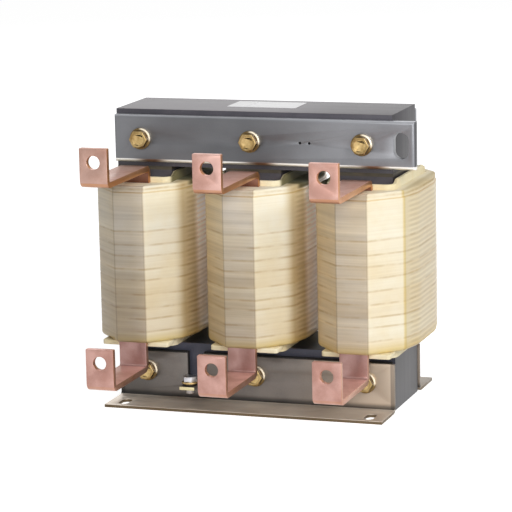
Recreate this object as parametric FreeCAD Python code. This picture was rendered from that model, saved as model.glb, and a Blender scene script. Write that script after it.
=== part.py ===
import FreeCAD, Part
import math
import os

# Three-phase load-side reactor: three taped coils on a laminated three-leg core, clamped
# between two bars above and two foot brackets below, with six bent copper terminals.
# Millimetres. Z is up, the feet stand on Z = 0, the terminals point to -Y, and the origin
# is the centre of the four foot slots.

# Core
leg_width = 56.0
window_width = 56.0
leg_length = 168.0
yoke_height = 56.0
stack_depth = 80.0
gap_plate_thickness = 3.5
core_lift = 1.0

# Clearance between pieces that fit snugly, and how near an edge lies to its named place
snug = 0.2
edge_match = 0.01

# Through bolts, with a hex head in front and a nut behind. The round stock of the fasteners
# repeats so often that it gets few sides.
round_sides = 16
bolt_diameter = 10.0
bolt_hole = 11.0
head_across_flats = 16.0
head_height = 6.4
nut_height = 8.0
nut_clearance = 0.05
washer_diameter = 21.0
washer_thickness = 2.0
washer_clearance = 0.25
bolt_end_reach = 4.0
sleeve_diameter = 13.6
sleeve_clearance = 0.2

# Upper clamp bars; the front one has a slotted lug past the yoke's right end
bar_height = 46.0
bar_thickness = 8.0
bar_edge_radius = 3.0
bar_end_setback = 0.5
upper_strip_thickness = 1.0
strip_margin = 2.0
lug_length = 24.0
lug_slot_width = 15.0
lug_slot_height = 25.0
lug_slot_edge = 13.5
pilot_hole = 2.5
pilot_hole_x = 50.5
pilot_hole_pitch = 9.3

# Foot brackets, each bent from one sheet
bracket_overhang = 1.0
bracket_sheet = 3.0
bracket_above_bolt = 19.0
bracket_reach = 45.0
bracket_bend = 3.0
lower_strip_thickness = 4.0
lower_strip_height = 40.0
foot_slot_inset = 16.0
foot_slot_width = 10.0
foot_slot_length = 20.0
foot_slot_edge = 15.0

# Earth tongue, cut from the bracket's upright and bent forward, with its screw
tongue_x = -62.0
tongue_width = 15.0
tongue_reach = 26.0
tongue_below_bolt = 9.0
tongue_slit = 0.6
earth_screw_reach = 16.0
earth_thread = 8.0
earth_thread_clearance = 0.05
earth_head_flats = 13.0
earth_head_height = 5.3
earth_screw_below = 5.0
earth_washer_diameter = 16.0
earth_washer_thickness = 1.6
earth_washer_clearance = 0.2
earth_spring_diameter = 14.5
earth_spring_thickness = 2.2
earth_spring_split = 1.6

# Coil former, with wedges beside the leg and packing blocks in front of and behind it. It hangs
# past the lower yoke's faces and dips in front and behind, where the upper lead comes out.
former_wall = 3.0
former_side_gap = 3.0
former_end_gap = 17.7
former_corner = 10.0
former_top_gap = 4.0
former_dip = 3.5
former_dip_run = 8.0
former_skirt = 5.0
former_yoke_gap = 2.0
wedge_width = 30.0
wedge_short = 4.0
packing_rise = 1.5

# Taped coil. In plan its sides are flat along the stack, turn in to a shoulder past the stack's
# ends, and go from there to a flat as wide as the lead in front and a wider one behind.
coil_side_build = 15.8
coil_side_flat_inset = 10.0
coil_shoulder_inset = 6.0
coil_shoulder_reach = 18.0
coil_back_flat_half = 18.0
coil_back_setback = 3.0
coil_lift = 8.0
coil_drop = 12.5
collar_height = 6.5
collar_step = 1.2
collar_slope = 0.6
tape_wall = 2.2
tape_lip_chamfer = 1.5
tape_turn_count = 9
tape_lap = 0.5
tape_lap_rise = 0.5
plain_tape_height = 38.0

# Copper leads and terminals
lead_width = 28.0
lead_thickness = 6.0
lead_bend = 2.0
lead_tape_side = 1.2
terminal_reach = 172.0
terminal_hole = 13.0
terminal_hole_edge = 13.5
terminal_corner = 1.0
upper_lead_rise = 17.0
upper_tab_height = 38.0
middle_lead_drop = 2.0
right_lead_drop = 7.0
lower_lead_fall = 23.0
lower_tab_height = 41.0
start_lead_depth = 120.0

# Worked-out levels and faces
half_stack = stack_depth / 2
leg_pitch = leg_width + window_width
yoke_length = 2 * leg_pitch + leg_width
lower_yoke_bottom = core_lift
lower_yoke_top = lower_yoke_bottom + yoke_height
leg_bottom = lower_yoke_top + gap_plate_thickness
leg_top = leg_bottom + leg_length
upper_yoke_bottom = leg_top + gap_plate_thickness
upper_yoke_top = upper_yoke_bottom + yoke_height
upper_bolt_z = upper_yoke_bottom + yoke_height / 2
lower_bolt_z = lower_yoke_bottom + yoke_height / 2
bolt_places = (-leg_pitch, 0.0, leg_pitch)
sleeve_hole = sleeve_diameter + 2 * sleeve_clearance
bar_inner_face = half_stack + upper_strip_thickness
bar_outer_face = bar_inner_face + bar_thickness
bracket_length = yoke_length + 2 * bracket_overhang
bracket_height = lower_bolt_z + bracket_above_bolt
tongue_top = lower_bolt_z - tongue_below_bolt
bracket_inner_face = half_stack + lower_strip_thickness
bracket_outer_face = bracket_inner_face + bracket_sheet
foot_slot_x = bracket_length / 2 - foot_slot_inset
foot_slot_y = bracket_outer_face + bracket_reach - foot_slot_edge
earth_screw_y = -(bracket_outer_face + earth_screw_reach)
former_inner_x = leg_width / 2 + former_side_gap
former_inner_y = half_stack + former_end_gap
former_outer_x = former_inner_x + former_wall
former_outer_y = former_inner_y + former_wall
former_inner_corner = former_corner - former_wall
former_bottom = lower_yoke_top - former_skirt
former_top = upper_yoke_bottom - former_top_gap
bore_half_x = former_outer_x + snug
bore_half_y = former_outer_y + snug
winding_build = coil_side_build - tape_wall - 2 * snug
start_lead_back = -(bore_half_y + snug)
start_lead_front = start_lead_back - lead_thickness
finish_lead_back = start_lead_front - winding_build
finish_lead_front = finish_lead_back - lead_thickness
coil_front = -finish_lead_front + tape_wall + snug
coil_back = coil_front - coil_back_setback
coil_front_flat_half = lead_width / 2 + lead_tape_side
coil_side_half = bore_half_x + coil_side_build
coil_side_flat = half_stack - coil_side_flat_inset
coil_shoulder_x = coil_side_half - coil_shoulder_inset
coil_shoulder_y = half_stack + coil_shoulder_reach
coil_bottom = lower_yoke_top + coil_lift
coil_top = upper_yoke_bottom - coil_drop
collar_bottom = coil_top - collar_height
tape_turn_pitch = (collar_bottom - plain_tape_height - coil_bottom) / tape_turn_count
upper_lead_top = coil_top + upper_lead_rise
lower_lead_top = coil_bottom - lower_lead_fall

# Each phase's name, its leg's place along X, and how much lower its upper lead is than the left one
phases = (
    ("left", -leg_pitch, 0.0),
    ("middle", 0.0, middle_lead_drop),
    ("right", leg_pitch, right_lead_drop),
)


def vec(x, y, z):
    return FreeCAD.Vector(x, y, z)


def block(x_low, x_high, y_low, y_high, z_low, z_high):
    """Solid box between two corners."""
    size = (x_high - x_low, y_high - y_low, z_high - z_low)
    return Part.makeBox(*size, vec(x_low, y_low, z_low))


def regular_prism(sides, across_flats, height, along, place):
    """Prism on a regular polygon, from its place up along Y or Z, with one corner level."""
    corner = across_flats / 2 / math.cos(math.pi / sides)
    points = []
    for step in range(sides):
        angle = 2 * math.pi * step / sides
        u, v = corner * math.cos(angle), corner * math.sin(angle)
        points.append(place + (vec(u, 0, v) if along == "y" else vec(u, v, 0)))
    way = vec(0, height, 0) if along == "y" else vec(0, 0, height)
    return Part.Face(Part.makePolygon(points + points[:1])).extrude(way)


def rod(diameter, x, z, y_low, y_high):
    """Round stock along Y."""
    return regular_prism(round_sides, diameter, y_high - y_low, "y", vec(x, y_low, z))


def upright_rod(diameter, x, y, z_low, z_high):
    """Round stock along Z."""
    return regular_prism(round_sides, diameter, z_high - z_low, "z", vec(x, y, z_low))


def cut_all(solid, tools):
    """The solid less every tool."""
    for tool in tools:
        solid = solid.cut(tool)
    return solid


def round_edges(solid, radius, wanted):
    """Fillet the straight edges whose middle passes the test."""
    edges = [edge for edge in solid.Edges if wanted(edge)]
    return solid.makeFillet(radius, edges)


def runs_along(edge, axis):
    """True when a straight edge is parallel to an axis given as (x, y, z)."""
    start, end = edge.Vertexes[0].Point, edge.Vertexes[-1].Point
    way = end - start
    return way.Length > 0 and abs(way.dot(vec(*axis))) > 0.999 * way.Length


def middle_of(edge):
    return edge.CenterOfMass


def is_long_edge(edge, y, z):
    """True for the edge along X at this Y and Z."""
    place = middle_of(edge)
    return runs_along(edge, (1, 0, 0)) and abs(place.y - y) < edge_match and abs(place.z - z) < edge_match


def obround(width, height, depth, centre, along):
    """Slot cutter through the sheet: long way up for along Y, long way in Y for along Z."""
    half = (height - width) / 2
    if along == "y":
        ends = [centre + vec(0, 0, half), centre - vec(0, 0, half)]
        way, middle = vec(0, 1, 0), block(-width / 2, width / 2, 0, depth, -half, half)
    else:
        ends = [centre + vec(0, half, 0), centre - vec(0, half, 0)]
        way, middle = vec(0, 0, 1), block(-width / 2, width / 2, -half, half, 0, depth)
    middle.translate(centre)
    slot = middle
    for end in ends:
        slot = slot.fuse(Part.makeCylinder(width / 2, depth, end, way))
    return slot.removeSplitter()


def turned_round(solid):
    """Copy turned half a turn about the upright axis through the origin."""
    copy = solid.copy()
    copy.rotate(vec(0, 0, 0), vec(0, 0, 1), 180)
    return copy


def mirrored_back(solid):
    """Copy mirrored from the front to the back."""
    return solid.mirror(vec(0, 0, 0), vec(0, 1, 0))


def yoke(low, bolt_z):
    """One yoke of the core, bored for the insulated through bolts."""
    high = low + yoke_height
    body = block(-yoke_length / 2, yoke_length / 2, -half_stack, half_stack, low, high)
    bores = [rod(sleeve_hole, x, bolt_z, -half_stack, half_stack) for x in bolt_places]
    return cut_all(body, bores)


def leg(x):
    return block(x - leg_width / 2, x + leg_width / 2, -half_stack, half_stack, leg_bottom, leg_top)


def gap_plate(x, low):
    half = leg_width / 2
    return block(x - half, x + half, -half_stack, half_stack, low, low + gap_plate_thickness)


def upper_clamp_bar(right_end):
    """Flat bar with rounded outer edges, bored for the bolts; it lies in front of the yoke."""
    left_end = -(yoke_length / 2 - bar_end_setback)
    low = upper_bolt_z - bar_height / 2
    high = upper_bolt_z + bar_height / 2
    bar = block(left_end, right_end, -bar_outer_face, -bar_inner_face, low, high)
    front = -bar_outer_face
    bar = round_edges(bar, bar_edge_radius, lambda edge: abs(middle_of(edge).y - front) < edge_match)
    bores = [rod(bolt_hole, x, upper_bolt_z, -bar_outer_face, -bar_inner_face) for x in bolt_places]
    return cut_all(bar, bores)


def front_clamp_bar():
    """The front bar, longer at the right, with its slotted lug and two pilot holes."""
    right_end = yoke_length / 2 + lug_length
    bar = upper_clamp_bar(right_end)
    slot_place = vec(right_end - lug_slot_edge, -bar_outer_face, upper_bolt_z)
    cutters = [obround(lug_slot_width, lug_slot_height, bar_thickness, slot_place, "y")]
    for step in range(2):
        x = pilot_hole_x + step * pilot_hole_pitch
        cutters.append(rod(pilot_hole, x, upper_bolt_z, -bar_outer_face, -bar_inner_face))
    return cut_all(bar, cutters)


def rear_clamp_bar():
    return mirrored_back(upper_clamp_bar(yoke_length / 2 - bar_end_setback))


def insulating_strip(thickness, height, bolt_z):
    """Pressboard strip between the yoke and what clamps it, at the front."""
    half = yoke_length / 2 - strip_margin
    back = -half_stack
    strip = block(-half, half, back - thickness, back, bolt_z - height / 2, bolt_z + height / 2)
    bores = [rod(sleeve_hole, x, bolt_z, back - thickness, back) for x in bolt_places]
    return cut_all(strip, bores)


def lower_front_strip():
    """The lower front strip, open behind the notch that the earth tongue leaves."""
    strip = insulating_strip(lower_strip_thickness, lower_strip_height, lower_bolt_z)
    half = tongue_width / 2 + tongue_slit
    high = lower_bolt_z + lower_strip_height / 2
    return strip.cut(block(tongue_x - half, tongue_x + half, -bracket_inner_face, -half_stack,
                           tongue_top - bracket_sheet, high))


def bracket_sheet_profile():
    """Upright and flange of the bracket as one bent sheet, before its cut-outs."""
    outer = -bracket_outer_face
    inner = -bracket_inner_face
    front = outer - bracket_reach
    half = bracket_length / 2
    upright = block(-half, half, outer, inner, 0, bracket_height)
    flange = block(-half, half, front, inner, 0, bracket_sheet)
    sheet = upright.fuse(flange).removeSplitter()

    sheet = round_edges(sheet, bracket_bend, lambda edge: is_long_edge(edge, outer, bracket_sheet))
    return round_edges(sheet, bracket_bend + bracket_sheet, lambda edge: is_long_edge(edge, inner, 0))


def earth_tongue():
    """Tongue bent forward out of the upright, and the notch that it leaves there."""
    outer = -bracket_outer_face
    inner = -bracket_inner_face
    low = tongue_top - bracket_sheet
    left = tongue_x - tongue_width / 2
    right = tongue_x + tongue_width / 2
    tongue = block(left, right, outer - tongue_reach, inner, low, tongue_top)
    bend = bracket_sheet - edge_match
    tongue = round_edges(tongue, bend, lambda edge: is_long_edge(edge, inner, tongue_top))
    notch = block(left - tongue_slit, right + tongue_slit, outer, inner, low, bracket_height)
    tapped_hole = earth_thread + 2 * earth_thread_clearance
    return tongue.cut(upright_rod(tapped_hole, tongue_x, earth_screw_y, low, tongue_top)), notch


def foot_bracket():
    """Front bracket: bent sheet with bolt holes, two foot slots and the earth tongue."""
    outer = -bracket_outer_face
    inner = -bracket_inner_face
    tongue, notch = earth_tongue()
    cutters = [notch]
    for x in bolt_places:
        cutters.append(rod(bolt_hole, x, lower_bolt_z, outer, inner))
    for side in (-1, 1):
        place = vec(side * foot_slot_x, -foot_slot_y, 0)
        cutters.append(obround(foot_slot_width, foot_slot_length, bracket_sheet, place, "z"))
    return cut_all(bracket_sheet_profile(), cutters).fuse(tongue).removeSplitter()


def through_bolt(x, z, outer_face):
    """Bolt along Y from its head in front to its end behind the nut."""
    seat = -(outer_face + washer_thickness)
    end = outer_face + washer_thickness + nut_height + bolt_end_reach
    shank = rod(bolt_diameter, x, z, seat, end)
    head = regular_prism(6, head_across_flats, head_height, "y", vec(x, seat - head_height, z))
    return head.fuse(shank).removeSplitter()


def bolt_washers(x, z, outer_face):
    """Front and rear washer of one bolt."""
    bore = bolt_diameter + 2 * washer_clearance
    pair = []
    for low in (-(outer_face + washer_thickness), outer_face):
        high = low + washer_thickness
        pair.append(rod(washer_diameter, x, z, low, high).cut(rod(bore, x, z, low, high)))
    return pair


def bolt_nut(x, z, outer_face):
    low = outer_face + washer_thickness
    nut = regular_prism(6, head_across_flats, nut_height, "y", vec(x, low, z))
    return nut.cut(rod(bolt_diameter + 2 * nut_clearance, x, z, low, low + nut_height))


def bolt_sleeve(x, z, reach):
    """Insulating tube round the bolt, through the yoke and its strips."""
    bore = bolt_diameter + 2 * sleeve_clearance
    return rod(sleeve_diameter, x, z, -reach, reach).cut(rod(bore, x, z, -reach, reach))


def each_bolt(make):
    """Pieces for the three upper and the three lower bolts, in two lists."""
    upper = [make(x, upper_bolt_z, bar_outer_face) for x in bolt_places]
    lower = [make(x, lower_bolt_z, bracket_outer_face) for x in bolt_places]
    return upper, lower


def rounded_column(x, half_x, half_y, corner, low, high):
    """Upright rectangular column with rounded corners."""
    column = block(x - half_x, x + half_x, -half_y, half_y, low, high)
    return round_edges(column, corner, lambda edge: runs_along(edge, (0, 0, 1)))


def former_dip_cutter(x):
    """Wedge that lowers the former's top in front, with a slope back to its full height."""
    end = former_outer_y + snug
    foot = former_outer_y - former_corner
    low, high = former_top - former_dip, former_top + snug
    profile = [(-end, low), (-foot, low), (-foot + former_dip_run, high), (-end, high)]
    points = [vec(x - former_outer_x, y, z) for y, z in profile]
    return Part.Face(Part.makePolygon(points + points[:1])).extrude(vec(2 * former_outer_x, 0, 0))


def coil_former(x):
    """Upright rectangular tube with rounded corners, which carries the coil."""
    low, high = former_bottom, former_top
    outside = rounded_column(x, former_outer_x, former_outer_y, former_corner, low, high)
    inside = rounded_column(x, former_inner_x, former_inner_y, former_inner_corner, low, high)
    yoke_room = half_stack + former_yoke_gap
    half = former_outer_x
    under = block(x - half, x + half, -yoke_room, yoke_room, low, lower_yoke_top)
    front_dip = former_dip_cutter(x)
    return cut_all(outside, [inside, under, front_dip, mirrored_back(front_dip)])


def leg_wedges(x):
    """Two thin strips that wedge the former on its leg."""
    high = former_top - wedge_short
    half = wedge_width / 2
    side = former_inner_x - snug
    return [block(x - side, x - leg_width / 2, -half, half, leg_bottom, high),
            block(x + leg_width / 2, x + side, -half, half, leg_bottom, high)]


def coil_packing(x):
    """Packing blocks between the leg and the former, in front and behind."""
    half = former_inner_x - former_inner_corner
    far = former_inner_y - snug
    high = coil_top + packing_rise
    return [block(x - half, x + half, -far, -half_stack, coil_bottom, high),
            block(x - half, x + half, half_stack, far, coil_bottom, high)]


def coil_outline():
    """Corners of the taped coil in plan, in order, from the front left round to the right."""
    front = [(coil_front_flat_half, -coil_front), (coil_shoulder_x, -coil_shoulder_y),
             (coil_side_half, -coil_side_flat)]
    back = [(coil_side_half, coil_side_flat), (coil_shoulder_x, coil_shoulder_y),
            (coil_back_flat_half, coil_back)]
    right = front + back
    left = [(-px, py) for px, py in reversed(right)]
    return right + left


def inset_outline(points, distance):
    """The outline moved inwards by a distance, corner by corner."""
    moved = []
    count = len(points)
    for index in range(count):
        before, here, after = points[index - 1], points[index], points[(index + 1) % count]
        first = edge_normal(before, here)
        second = edge_normal(here, after)
        share = distance / (1 + first[0] * second[0] + first[1] * second[1])
        moved.append((here[0] - share * (first[0] + second[0]), here[1] - share * (first[1] + second[1])))
    return moved


def edge_normal(start, end):
    """Unit normal on the right of the way from start to end, which is outwards here."""
    dx, dy = end[0] - start[0], end[1] - start[1]
    length = math.hypot(dx, dy)
    return dy / length, -dx / length


def outline_wire(x, inset, z):
    points = [vec(x + px, py, z) for px, py in inset_outline(coil_outline(), inset)]
    return Part.makePolygon(points + points[:1])


def outline_prism(x, inset, low, high):
    return Part.Face(outline_wire(x, inset, low)).extrude(vec(0, 0, high - low))


def tape_levels():
    """Height and inset of each ring of the tape's outside, from bottom to top.

    Each turn laps over the one below it: it stands out at its lower edge and leans in above.
    """
    levels = [(coil_bottom, tape_lip_chamfer), (coil_bottom + tape_lip_chamfer, 0.0)]
    for turn in range(tape_turn_count):
        lower_edge = coil_bottom + tape_turn_pitch * (turn + 1)
        levels.append((lower_edge, tape_lap))
        levels.append((lower_edge + tape_lap_rise, 0.0))
    levels.append((collar_bottom, 0.0))
    levels.append((collar_bottom + collar_slope, collar_step))
    levels.append((coil_top - tape_lip_chamfer, collar_step))
    levels.append((coil_top, collar_step + tape_lip_chamfer))
    return levels


def coil_bore(x, low, high):
    return block(x - bore_half_x, x + bore_half_x, -bore_half_y, bore_half_y, low, high)


def lead_pocket(x, back, front, low, high):
    """Room for a lead, a little larger than its section."""
    half = lead_width / 2 + snug
    return block(x - half, x + half, front - snug, back + snug, low, high)


def coil_tape(x):
    """Tape wound round the coil in lapped turns and over both ends."""
    rings = [outline_wire(x, inset, z) for z, inset in tape_levels()]
    outside = Part.makeLoft(rings, True, True)
    cavity = outline_prism(x, tape_wall, coil_bottom + tape_wall, coil_top - tape_wall)
    tools = [cavity, coil_bore(x, coil_bottom, coil_top)]
    tools.append(lead_pocket(x, start_lead_back, start_lead_front, coil_top - tape_wall, coil_top))
    tools.append(lead_pocket(x, finish_lead_back, finish_lead_front, coil_bottom, coil_bottom + tape_wall))
    return cut_all(outside, tools)


def foil_winding(x):
    """Copper foil wound round the bore, with recesses for the start and finish leads."""
    low = coil_bottom + tape_wall + snug
    high = coil_top - tape_wall - snug
    body = outline_prism(x, tape_wall + snug, low, high)
    tools = [coil_bore(x, low, high)]
    start_low = high - start_lead_depth - snug
    half = lead_width / 2 + snug
    tools.append(block(x - half, x + half, start_lead_front - snug, -bore_half_y, start_low, high))
    tools.append(block(x - half, x + half, -coil_front, finish_lead_back + snug, low, high))
    return cut_all(body, tools)


def bent_lead(x, back, level, upright_end, tab_height):
    """Copper flat: upright in the coil, bent forward, then bent up into a bored tab."""
    half = lead_width / 2
    low = level - lead_thickness
    front = back - lead_thickness
    tab_top = low + tab_height
    tab_front = -terminal_reach
    arm = block(x - half, x + half, tab_front, back, low, level)
    tab = block(x - half, x + half, tab_front, tab_front + lead_thickness, low, tab_top)
    leg_low, leg_high = min(upright_end, level), max(upright_end, low)
    upright = block(x - half, x + half, front, back, leg_low, leg_high)
    lead = arm.fuse(tab).fuse(upright).removeSplitter()
    upwards = upright_end > level
    inner_z, outer_z = (level, low) if upwards else (low, level)
    lead = round_lead_bend(lead, tab_front + lead_thickness, level, tab_front, low)
    lead = round_lead_bend(lead, front, inner_z, back, outer_z)
    lead = round_edges(lead, terminal_corner, lambda edge: runs_along(edge, (0, 1, 0))
                       and abs(middle_of(edge).z - tab_top) < edge_match)
    bore_place = vec(x, tab_front, tab_top - terminal_hole_edge)
    return lead.cut(Part.makeCylinder(terminal_hole / 2, lead_thickness, bore_place, vec(0, 1, 0)))


def round_lead_bend(lead, inner_y, inner_z, outer_y, outer_z):
    """Round one bend of a lead inside and outside."""
    lead = round_edges(lead, lead_bend, lambda edge: is_long_edge(edge, inner_y, inner_z))
    return round_edges(lead, lead_bend + lead_thickness, lambda edge: is_long_edge(edge, outer_y, outer_z))


def upper_terminal(x, drop):
    """Start lead, out of the coil's top and forward over its front."""
    end = coil_top - tape_wall - snug - start_lead_depth
    return bent_lead(x, start_lead_back, upper_lead_top - drop, end, upper_tab_height)


def lower_terminal(x):
    """Finish lead, under the tape down the coil's front and out below it."""
    end = coil_top - tape_wall - 2 * snug
    return bent_lead(x, finish_lead_back, lower_lead_top, end, lower_tab_height)


def earth_screw():
    """Hex screw down through the tongue, with its washers above the tongue."""
    seat = tongue_top + earth_spring_thickness + earth_washer_thickness
    low = tongue_top - bracket_sheet - earth_screw_below
    shank = upright_rod(earth_thread, tongue_x, earth_screw_y, low, seat)
    head = regular_prism(6, earth_head_flats, earth_head_height, "z", vec(tongue_x, earth_screw_y, seat))
    return head.fuse(shank).removeSplitter()


def ring(diameter, thickness, low):
    """Washer of the earth screw, lying flat."""
    bore = earth_thread + 2 * earth_washer_clearance
    high = low + thickness
    outside = upright_rod(diameter, tongue_x, earth_screw_y, low, high)
    return outside.cut(upright_rod(bore, tongue_x, earth_screw_y, low, high))


def earth_spring_washer():
    """Split washer between the tongue and the plain washer."""
    half = earth_spring_split / 2
    washer = ring(earth_spring_diameter, earth_spring_thickness, tongue_top)
    split = block(tongue_x, tongue_x + earth_spring_diameter, earth_screw_y - half, earth_screw_y + half,
                  tongue_top, tongue_top + earth_spring_thickness)
    return washer.cut(split)


def core_nodes():
    nodes = {
        "lower_yoke": [yoke(lower_yoke_bottom, lower_bolt_z)],
        "upper_yoke": [yoke(upper_yoke_bottom, upper_bolt_z)],
    }
    for side, x, _ in phases:
        nodes["leg_" + side] = [leg(x)]
        nodes["lower_gap_plate_" + side] = [gap_plate(x, lower_yoke_top)]
        nodes["upper_gap_plate_" + side] = [gap_plate(x, leg_top)]
    return nodes


def clamp_nodes():
    bracket = foot_bracket()
    upper_strip_height = bar_height - 2 * strip_margin
    upper_strip = insulating_strip(upper_strip_thickness, upper_strip_height, upper_bolt_z)
    lower_strip = lower_front_strip()
    upper_washers, lower_washers = each_bolt(bolt_washers)
    upper_nuts, lower_nuts = each_bolt(bolt_nut)
    upper_bolts, lower_bolts = each_bolt(through_bolt)
    sleeves = [bolt_sleeve(x, upper_bolt_z, half_stack + upper_strip_thickness) for x in bolt_places]
    sleeves += [bolt_sleeve(x, lower_bolt_z, half_stack + lower_strip_thickness) for x in bolt_places]
    return {
        "upper_clamp_bar_front": [front_clamp_bar()],
        "upper_clamp_bar_rear": [rear_clamp_bar()],
        "upper_strip_front": [upper_strip],
        "upper_strip_rear": [mirrored_back(upper_strip)],
        "foot_bracket_front": [bracket],
        "foot_bracket_rear": [turned_round(bracket)],
        "lower_strip_front": [lower_strip],
        "lower_strip_rear": [turned_round(lower_strip)],
        "upper_clamp_bolts": upper_bolts,
        "lower_clamp_bolts": lower_bolts,
        "clamp_bolt_washers": [one for pair in upper_washers + lower_washers for one in pair],
        "clamp_bolt_nuts": upper_nuts + lower_nuts,
        "clamp_bolt_sleeves": sleeves,
    }


def earth_nodes():
    plain_low = tongue_top + earth_spring_thickness
    return {
        "earth_screw": [earth_screw()],
        "earth_washer": [ring(earth_washer_diameter, earth_washer_thickness, plain_low)],
        "earth_spring_washer": [earth_spring_washer()],
    }


def coil_nodes():
    nodes = {}
    for side, x, drop in phases:
        nodes["coil_former_" + side] = [coil_former(x)]
        nodes["leg_wedges_" + side] = leg_wedges(x)
        nodes["coil_packing_" + side] = coil_packing(x)
        nodes["foil_winding_" + side] = [foil_winding(x)]
        nodes["coil_tape_" + side] = [coil_tape(x)]
        nodes["upper_terminal_" + side] = [upper_terminal(x, drop)]
        nodes["lower_terminal_" + side] = [lower_terminal(x)]
    return nodes


def export(nodes):
    os.makedirs("parts", exist_ok=True)
    for name, solids in nodes.items():
        shape = solids[0] if len(solids) == 1 else Part.makeCompound(solids)
        shape.exportStep(os.path.join("parts", name + ".step"))


nodes = {}
for group in (core_nodes(), clamp_nodes(), earth_nodes(), coil_nodes()):
    nodes.update(group)
export(nodes)
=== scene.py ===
"""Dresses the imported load-side reactor: taped coils, copper leads, core, clamps, feet and studio."""

import logging
import math
import random
from collections.abc import Callable, Iterator
from contextlib import contextmanager
from dataclasses import dataclass
from enum import Enum
from functools import reduce

import bmesh
import bpy
from mathutils import Matrix, Vector


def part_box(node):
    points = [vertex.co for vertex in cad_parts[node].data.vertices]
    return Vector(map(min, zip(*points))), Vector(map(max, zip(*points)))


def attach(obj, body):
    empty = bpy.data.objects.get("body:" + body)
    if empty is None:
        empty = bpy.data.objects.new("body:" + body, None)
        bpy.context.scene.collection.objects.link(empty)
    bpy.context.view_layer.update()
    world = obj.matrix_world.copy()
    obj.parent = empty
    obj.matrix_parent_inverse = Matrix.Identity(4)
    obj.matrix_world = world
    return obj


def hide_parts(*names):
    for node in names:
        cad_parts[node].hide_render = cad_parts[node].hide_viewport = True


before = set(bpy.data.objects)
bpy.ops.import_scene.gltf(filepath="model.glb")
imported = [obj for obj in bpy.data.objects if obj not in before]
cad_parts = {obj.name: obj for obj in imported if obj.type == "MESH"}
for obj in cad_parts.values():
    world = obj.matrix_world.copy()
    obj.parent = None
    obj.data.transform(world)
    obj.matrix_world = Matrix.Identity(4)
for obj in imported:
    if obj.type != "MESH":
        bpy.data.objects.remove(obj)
log = logging.getLogger("reactor")

MM = 0.001
NEAR = 0.01 * MM
MERGE_WITHIN = 0.005 * MM
FLAT_WITHIN = math.radians(1.0)
LEG_PITCH = 112.0
Colour = tuple[float, float, float, float]
Material = bpy.types.Material
Outputs = bpy.types.bpy_prop_collection
Part = bmesh.types.BMVert | bmesh.types.BMEdge | bmesh.types.BMFace
Piece = bpy.types.Object
Socket = bpy.types.NodeSocket
Test = Callable[..., bool]
Triple = tuple[float, float, float]


class Phase(Enum):
    """The three legs of the core, from left to right."""

    LEFT = "left"
    MIDDLE = "middle"
    RIGHT = "right"


class Row(Enum):
    """The upper and the lower row of terminals and bolts."""

    UPPER = "upper"
    LOWER = "lower"


class Pick(Enum):
    """What edit mode selects."""

    VERTS = "VERT"
    EDGES = "EDGE"
    FACES = "FACE"


def shade(red: float, green: float, blue: float) -> Colour:
    """Turns a colour as seen on a screen, 0 to 255, into the shader's linear colour with full alpha."""
    linear = [((c / 255 + 0.055) / 1.055) ** 2.4 if c > 10 else c / 255 / 12.92 for c in (red, green, blue)]
    return (*linear, 1.0)


def tone(red: float, green: float, blue: float) -> Colour:
    """Gives a linear colour full alpha; a tint that multiplies may be over 1."""
    return (red, green, blue, 1.0)


# Modelling helpers


def select_only(piece: Piece) -> None:
    """Deselects everything, then selects one piece and makes it active."""
    bpy.ops.object.select_all(action="DESELECT")
    piece.select_set(True)
    bpy.context.view_layer.objects.active = piece


@contextmanager
def editing(piece: Piece, kind: Pick) -> Iterator[None]:
    """Opens a piece in edit mode with nothing selected, and closes it again.

    Args:
        piece: The mesh to edit.
        kind: What is selected in it.
    """
    select_only(piece)
    bpy.ops.object.mode_set(mode="EDIT")
    bpy.ops.mesh.select_mode(type=kind.value)
    bpy.ops.mesh.select_all(action="DESELECT")
    yield
    bpy.ops.object.mode_set(mode="OBJECT")


def described(kind: Pick, part: Part) -> tuple[Vector, ...]:
    """Gives a vertex's place, an edge's two ends, or a face's middle and normal."""
    if kind is Pick.FACES:
        return (part.calc_center_median(), part.normal)
    return (part.co,) if kind is Pick.VERTS else tuple(vert.co for vert in part.verts)


def pick(piece: Piece, kind: Pick, wanted: Test) -> None:
    """Selects, in edit mode, the vertices, edges or faces that pass a test.

    Args:
        piece: The mesh in edit mode.
        kind: What is tested.
        wanted: Test of a vertex's place, of an edge's two ends, or of a face's middle and normal.
    """
    bpy.ops.mesh.select_all(action="DESELECT")
    mesh = bmesh.from_edit_mesh(piece.data)
    for part in getattr(mesh, kind.name.lower()):
        if wanted(*described(kind, part)):
            part.select_set(True)
    mesh.select_flush_mode()
    bmesh.update_edit_mesh(piece.data)


def mark_faces(piece: Piece, attribute: str, value: Callable[[Vector, Vector], float]) -> None:
    """Writes, in edit mode, an attribute of each face.

    Args:
        piece: The mesh in edit mode.
        attribute: The new attribute's name.
        value: Gives the number from a face's middle and normal.
    """
    mesh = bmesh.from_edit_mesh(piece.data)
    layer = mesh.faces.layers.float.new(attribute)
    for face in mesh.faces:
        face[layer] = value(face.calc_center_median(), face.normal)
    bmesh.update_edit_mesh(piece.data)


def is_upright(first: Vector, second: Vector) -> bool:
    """Tells whether an edge between two points stands upright."""
    return (first - second).xy.length < NEAR


def round_edges(piece: Piece, radius: float, segments: int, wanted: Test) -> None:
    """Rounds, in edit mode, the edges whose two ends pass a test; the radius is in millimetres."""
    pick(piece, Pick.EDGES, wanted)
    bpy.ops.mesh.bevel(offset=radius * MM, segments=segments, affect="EDGES")


def slice_at(point: Vector, normal: Vector, drop_outer: bool = False) -> None:
    """Cuts the whole mesh in edit mode with a plane.

    Args:
        point: A point on the plane.
        normal: The plane's normal.
        drop_outer: True to remove what lies on the normal's side and close the cut.
    """
    bpy.ops.mesh.select_all(action="SELECT")
    bpy.ops.mesh.bisect(plane_co=point, plane_no=normal, use_fill=drop_outer, clear_outer=drop_outer)


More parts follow.
